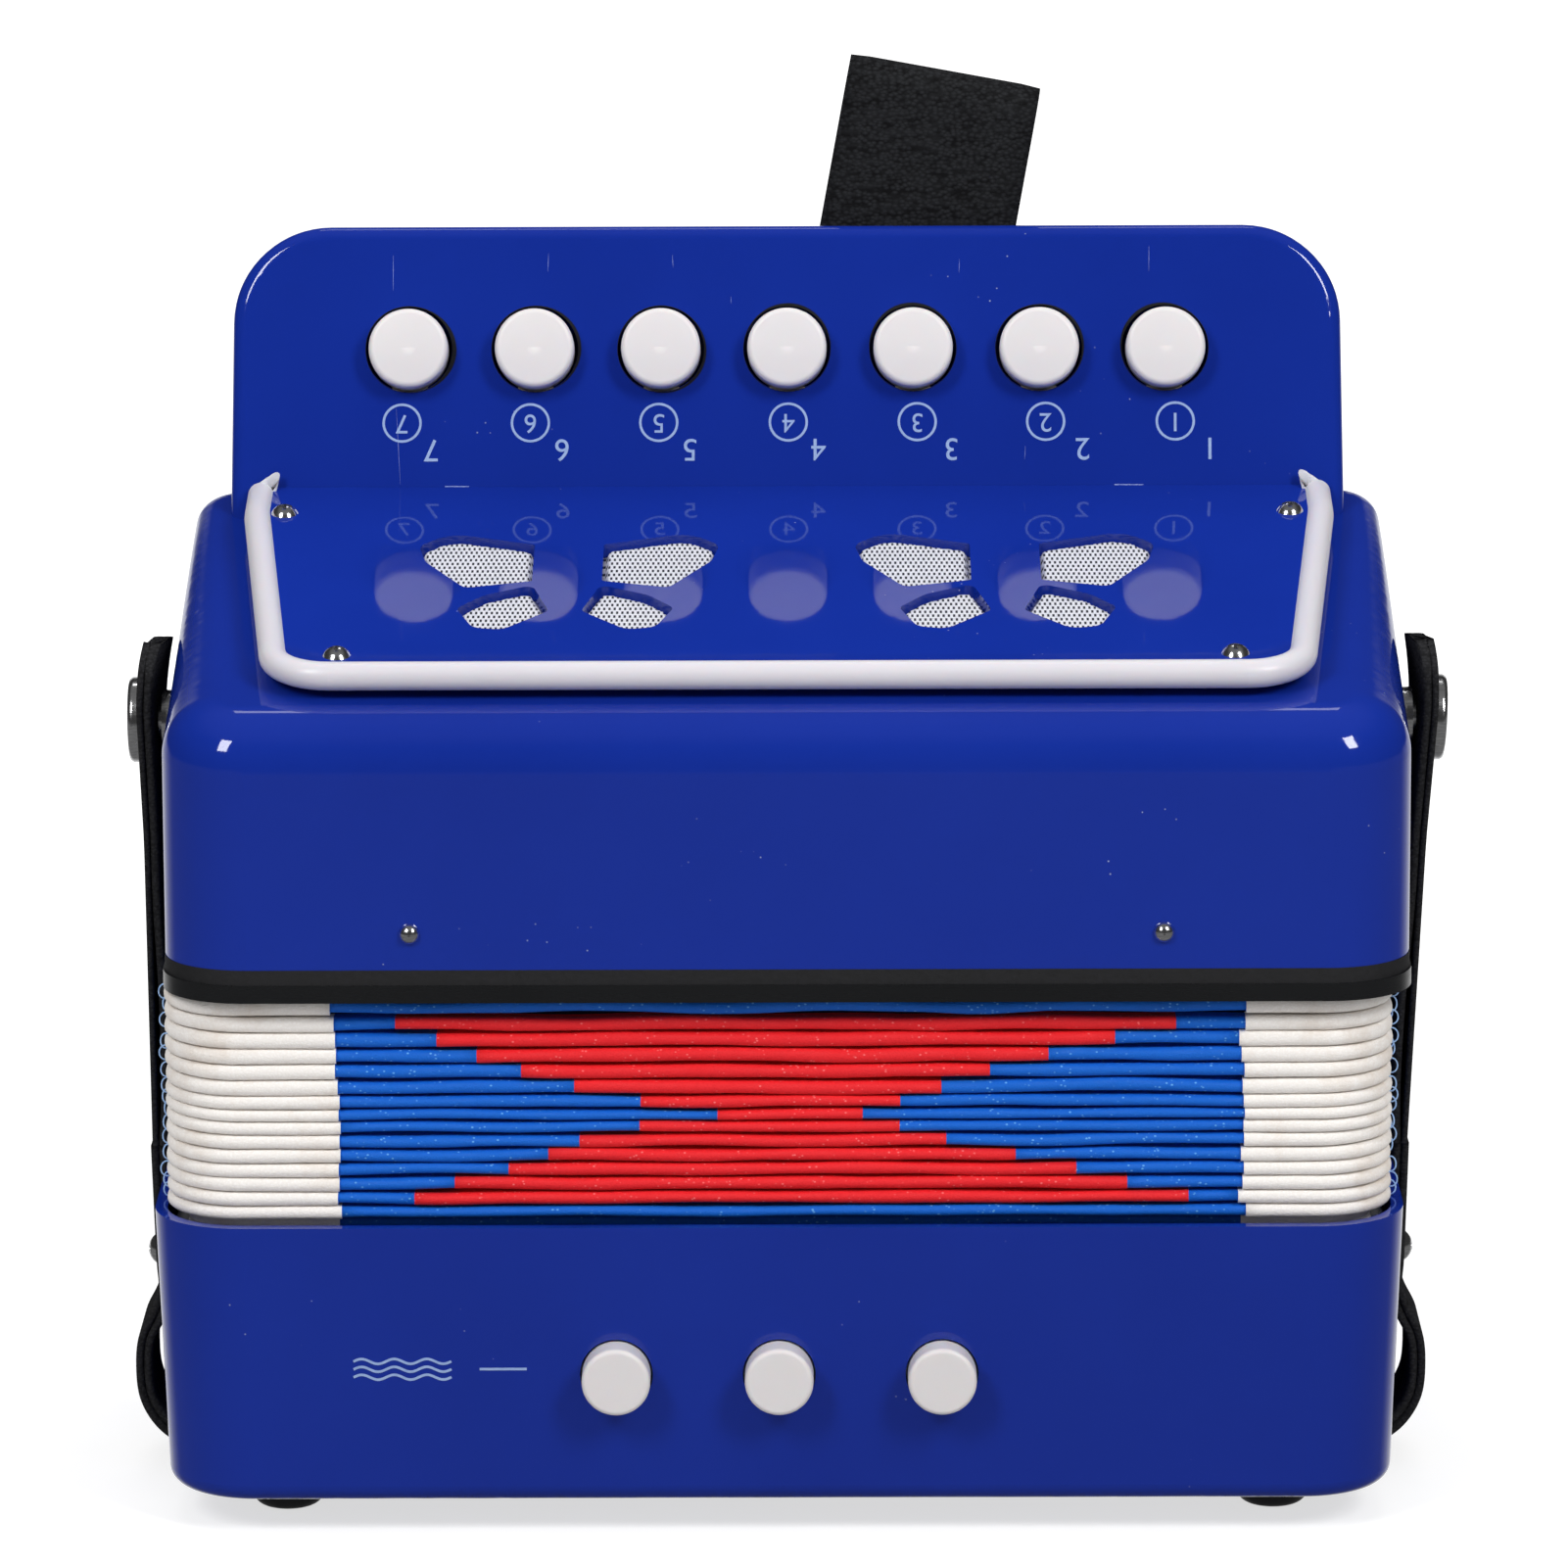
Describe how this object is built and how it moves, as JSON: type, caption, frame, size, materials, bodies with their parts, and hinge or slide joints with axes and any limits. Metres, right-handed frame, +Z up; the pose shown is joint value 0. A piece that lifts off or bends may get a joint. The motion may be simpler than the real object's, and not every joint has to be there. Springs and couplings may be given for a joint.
{
  "type": "toy button accordion",
  "caption": "Toy button accordion on its bass end, bellows strapped shut, with a leaning button board, grille, hand strap and thumb loop.",
  "frame": {"origin": "on the surface it stands on, under the middle of its bounding box", "axes": "+X along the row of buttons to the right, +Y from the grille side's front to the thumb strap, +Z up from the bass end to the button board"},
  "size_m": [0.2194, 0.131, 0.2294],
  "materials": {
    "blue_shell": "glossy moulded plastic, deep blue",
    "black_frame": "satin moulded plastic, black",
    "black_rubber": "matt rubber, black",
    "black_strap": "smooth imitation leather, black",
    "snap_metal": "nickel plated press stud",
    "bellows_card": "pleated card with blue, red and white cloth tape",
    "gasket_foam": "soft foam seal, black",
    "white_trim": "satin soft plastic piping, white",
    "white_button": "satin moulded plastic, off-white",
    "mesh_weave": "open woven grille cloth, silver over black",
    "bright_screw": "nickel plated",
    "screw_steel": "zinc plated",
    "spring_steel": "bare spring steel",
    "reed_metal": "bare brass",
    "grey_board": "grey moulded board",
    "cream_plastic": "cream moulded plastic",
    "pad_felt": "red felt with a thin leather face"
  },
  "bodies": {
    "bass_end": {"bass_box": "blue_shell", "rubber_feet": "black_rubber", "bass_board": "grey_board", "bass_board_screws": "screw_steel", "bass_reed_block": "cream_plastic", "bass_reed_plates": "reed_metal", "bass_springs": "spring_steel", "side_screws": "bright_screw", "hand_strap": "black_strap", "bellows_frame_lower": "black_frame", "bellows": "bellows_card"},
    "treble_end": {"treble_casing": "blue_shell", "bellows_frame_upper": "black_frame", "bellows_gasket": "gasket_foam", "bellows_pins": "bright_screw", "snap_studs": "snap_metal", "grille_panel": "blue_shell", "trim_tube": "white_trim", "mesh_cloth": "mesh_weave", "grille_screws": "bright_screw", "fingerboard": "blue_shell", "fingerboard_back": "blue_shell", "thumb_strap": "black_strap", "case_screws": "screw_steel", "treble_soundboard": "grey_board", "treble_reed_block": "cream_plastic", "treble_reed_plate": "reed_metal", "treble_axle": "spring_steel", "treble_springs": "spring_steel"},
    "strap_left": {"closing_strap_left": "black_strap", "snap_cap_left": "snap_metal"},
    "strap_right": {"closing_strap_right": "black_strap", "snap_cap_right": "snap_metal"},
    "treble_key_1": {"treble_button_1": "white_button", "treble_lever_1": "cream_plastic", "treble_pad_1": "pad_felt"},
    "treble_key_2": {"treble_button_2": "white_button", "treble_lever_2": "cream_plastic", "treble_pad_2": "pad_felt"},
    "treble_key_3": {"treble_button_3": "white_button", "treble_lever_3": "cream_plastic", "treble_pad_3": "pad_felt"},
    "treble_key_4": {"treble_button_4": "white_button", "treble_lever_4": "cream_plastic", "treble_pad_4": "pad_felt"},
    "treble_key_5": {"treble_button_5": "white_button", "treble_lever_5": "cream_plastic", "treble_pad_5": "pad_felt"},
    "treble_key_6": {"treble_button_6": "white_button", "treble_lever_6": "cream_plastic", "treble_pad_6": "pad_felt"},
    "treble_key_7": {"treble_button_7": "white_button", "treble_lever_7": "cream_plastic", "treble_pad_7": "pad_felt"},
    "bass_key_1": {"bass_button_1": "white_button", "bass_valve_1": "pad_felt"},
    "bass_key_2": {"bass_button_2": "white_button", "bass_valve_2": "pad_felt"},
    "bass_key_3": {"bass_button_3": "white_button", "bass_valve_3": "pad_felt"}
  },
  "joints": [
    {"name": "bellows_slide", "type": "slide", "parent": "bass_end", "child": "treble_end", "axis": [0, 0, 1], "range_m": [0, 0.12], "deforming": ["bellows"]},
    {"name": "strap_left_flex", "type": "hinge", "parent": "bass_end", "child": "strap_left", "pos_m": [-0.10652, -0.01014, 0.05585], "axis": [0, -1, 0], "range_deg": [0, 120]},
    {"name": "strap_right_flex", "type": "hinge", "parent": "bass_end", "child": "strap_right", "pos_m": [0.10347, -0.01014, 0.05585], "axis": [0, 1, 0], "range_deg": [0, 120]},
    {"name": "treble_key_1_press", "type": "hinge", "parent": "treble_end", "child": "treble_key_1", "pos_m": [-0.06457, 0.03044, 0.13752], "axis": [-1, 0, 0], "range_deg": [0, 4.14], "stiffness_Nm_per_rad": 0.3, "springref_deg": -5.73},
    {"name": "treble_key_2_press", "type": "hinge", "parent": "treble_end", "child": "treble_key_2", "pos_m": [-0.04307, 0.03044, 0.13752], "axis": [-1, 0, 0], "range_deg": [0, 4.14], "stiffness_Nm_per_rad": 0.3, "springref_deg": -5.73},
    {"name": "treble_key_3_press", "type": "hinge", "parent": "treble_end", "child": "treble_key_3", "pos_m": [-0.02157, 0.03044, 0.13752], "axis": [-1, 0, 0], "range_deg": [0, 4.14], "stiffness_Nm_per_rad": 0.3, "springref_deg": -5.73},
    {"name": "treble_key_4_press", "type": "hinge", "parent": "treble_end", "child": "treble_key_4", "pos_m": [-0.00007, 0.03044, 0.13752], "axis": [-1, 0, 0], "range_deg": [0, 4.14], "stiffness_Nm_per_rad": 0.3, "springref_deg": -5.73},
    {"name": "treble_key_5_press", "type": "hinge", "parent": "treble_end", "child": "treble_key_5", "pos_m": [0.02143, 0.03044, 0.13752], "axis": [-1, 0, 0], "range_deg": [0, 4.14], "stiffness_Nm_per_rad": 0.3, "springref_deg": -5.73},
    {"name": "treble_key_6_press", "type": "hinge", "parent": "treble_end", "child": "treble_key_6", "pos_m": [0.04293, 0.03044, 0.13752], "axis": [-1, 0, 0], "range_deg": [0, 4.14], "stiffness_Nm_per_rad": 0.3, "springref_deg": -5.73},
    {"name": "treble_key_7_press", "type": "hinge", "parent": "treble_end", "child": "treble_key_7", "pos_m": [0.06443, 0.03044, 0.13752], "axis": [-1, 0, 0], "range_deg": [0, 4.14], "stiffness_Nm_per_rad": 0.3, "springref_deg": -5.73},
    {"name": "bass_key_1_press", "type": "slide", "parent": "bass_end", "child": "bass_key_1", "axis": [0, 1, 0], "range_m": [0, 0.0032], "stiffness_N_per_m": 250, "springref_m": -0.004},
    {"name": "bass_key_2_press", "type": "slide", "parent": "bass_end", "child": "bass_key_2", "axis": [0, 1, 0], "range_m": [0, 0.0032], "stiffness_N_per_m": 250, "springref_m": -0.004},
    {"name": "bass_key_3_press", "type": "slide", "parent": "bass_end", "child": "bass_key_3", "axis": [0, 1, 0], "range_m": [0, 0.0032], "stiffness_N_per_m": 250, "springref_m": -0.004}
  ]
}
